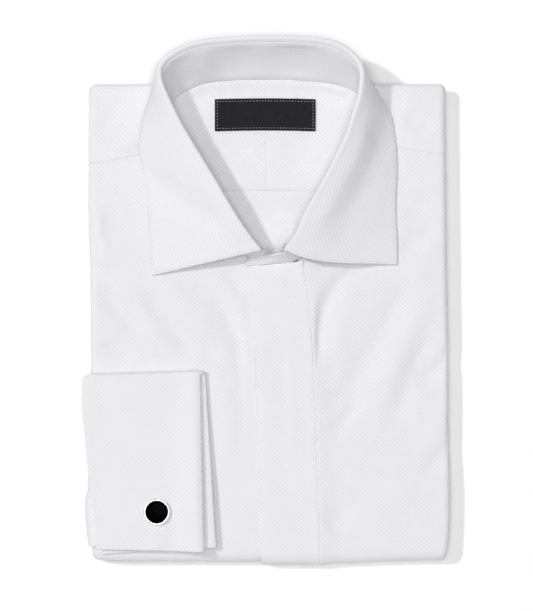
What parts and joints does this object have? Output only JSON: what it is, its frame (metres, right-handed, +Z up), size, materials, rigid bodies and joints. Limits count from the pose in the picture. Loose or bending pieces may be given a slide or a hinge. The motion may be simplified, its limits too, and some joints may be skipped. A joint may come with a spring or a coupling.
{
  "type": "long sleeve dress shirt, folded",
  "caption": "Folded white long sleeve dress shirt with a semi-spread collar, a fly front and a turned-back double cuff closed by a round black cufflink.",
  "frame": {"origin": "middle of the folded shirt's outline on the surface that it rests on", "axes": "+Y towards the collar, +X to the right as seen from above with the collar at the top, +Z up out of the front"},
  "size_m": [0.257, 0.3694, 0.0466],
  "materials": {
    "shirt_cloth": "matt white cotton with a fine diamond weave",
    "label_cloth": "black woven tape with a pale stitched border",
    "polished_steel": "polished",
    "black_onyx": "polished black stone"
  },
  "bodies": {
    "root": {"front_left": "shirt_cloth", "front_right": "shirt_cloth", "fly_placket": "shirt_cloth", "yoke_left": "shirt_cloth", "yoke_right": "shirt_cloth", "inner_yoke_left": "shirt_cloth", "inner_yoke_right": "shirt_cloth", "back": "shirt_cloth", "collar_band": "shirt_cloth", "collar_leaf": "shirt_cloth", "right_sleeve": "shirt_cloth", "right_cuff": "shirt_cloth", "hidden_layers": "shirt_cloth", "label": "label_cloth", "cufflink_bezel": "polished_steel", "cufflink_toggle": "polished_steel", "cufflink_onyx": "black_onyx"}
  },
  "joints": []
}
